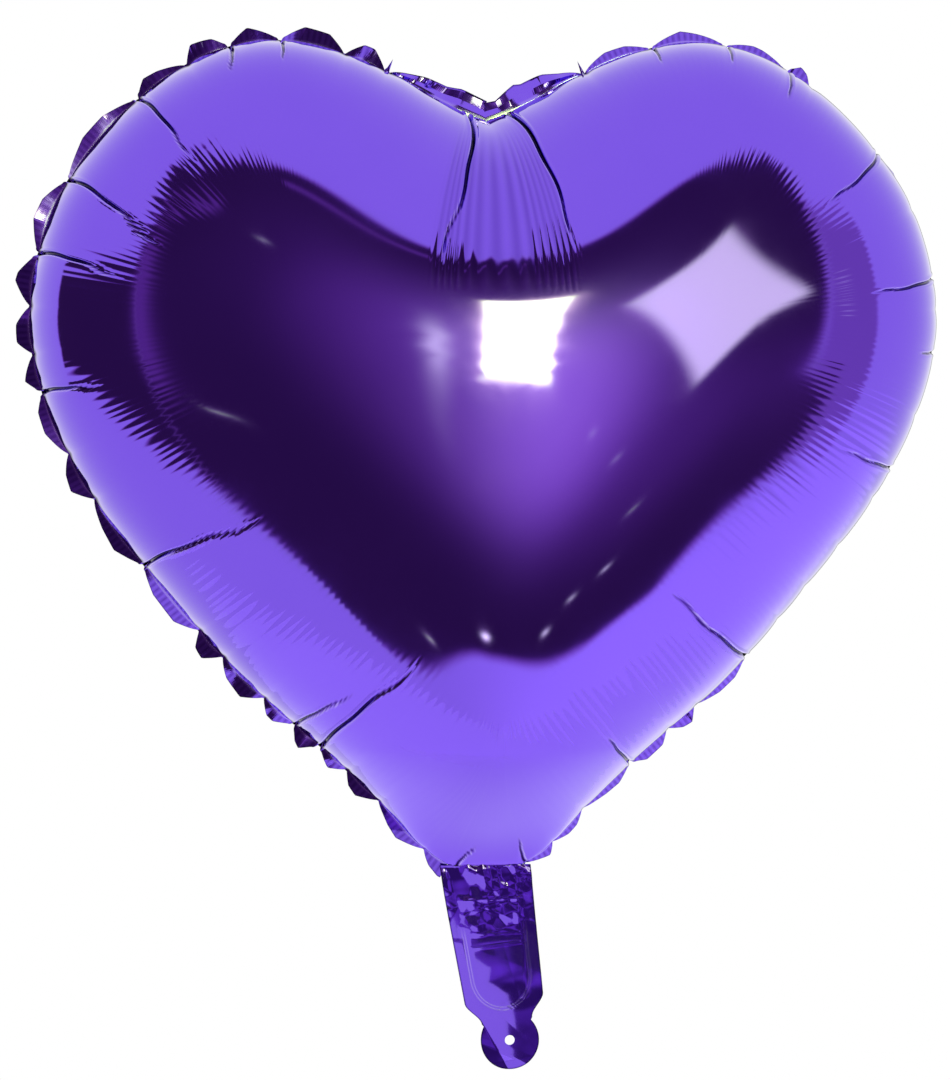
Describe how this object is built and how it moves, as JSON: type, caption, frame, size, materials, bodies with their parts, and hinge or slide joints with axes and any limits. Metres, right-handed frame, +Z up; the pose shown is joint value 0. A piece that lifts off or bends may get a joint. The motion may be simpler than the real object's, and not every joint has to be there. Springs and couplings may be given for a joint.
{
  "type": "heart-shaped foil balloon",
  "caption": "Inflated heart-shaped foil balloon: welded, puckered rim, film valve inside, and a flat filling tail that ends in a round tab with a hanging hole.",
  "frame": {"origin": "the neck's tie point at the heart's tip, on the weld plane between the front and back panels", "axes": "+Z up from the tip to the notch between the lobes, -Y out of the front panel, +X to the right seen from the front"},
  "size_m": [0.3788, 0.1488, 0.4226],
  "materials": {
    "violet_foil": "polished",
    "valve_film": "gloss"
  },
  "bodies": {
    "balloon": {"front_foil_panel": "violet_foil", "back_foil_panel": "violet_foil"},
    "neck": {"neck_front_foil": "violet_foil", "neck_back_foil": "violet_foil", "neck_front_valve_film": "valve_film", "neck_back_valve_film": "valve_film"},
    "tail": {"tail_front_foil": "violet_foil", "tail_back_foil": "violet_foil", "tail_front_valve_film": "valve_film", "tail_back_valve_film": "valve_film"},
    "tab": {"tab_front_foil": "violet_foil", "tab_back_foil": "violet_foil"},
    "front_flap": {"valve_front_flap": "valve_film"},
    "back_flap": {"valve_back_flap": "valve_film"}
  },
  "joints": [
    {"name": "tail_twist", "type": "hinge", "parent": "balloon", "child": "neck", "pos_m": [0, 0, 0], "axis": [0, 0, 1], "range_deg": [-90, 90]},
    {"name": "tail_fold", "type": "hinge", "parent": "neck", "child": "tail", "pos_m": [0.00167, 0, -0.01188], "axis": [0.9903, 0, 0.1392], "range_deg": [-100, 100]},
    {"name": "tab_fold", "type": "hinge", "parent": "tail", "child": "tab", "pos_m": [0.00884, 0, -0.06288], "axis": [0.9903, 0, 0.1392], "range_deg": [-150, 150]},
    {"name": "valve_front_open", "type": "hinge", "parent": "balloon", "child": "front_flap", "pos_m": [0, -0.00015, 0.0003], "axis": [1, 0, 0], "range_deg": [0, 8], "stiffness_Nm_per_rad": 0.0005},
    {"name": "valve_back_open", "type": "hinge", "parent": "balloon", "child": "back_flap", "pos_m": [0, 0.00015, 0.0003], "axis": [1, 0, 0], "range_deg": [-8, 0], "stiffness_Nm_per_rad": 0.0005}
  ],
  "couplings": [
    {"joint": "valve_back_open", "follows": "valve_front_open", "ratio": -1}
  ]
}
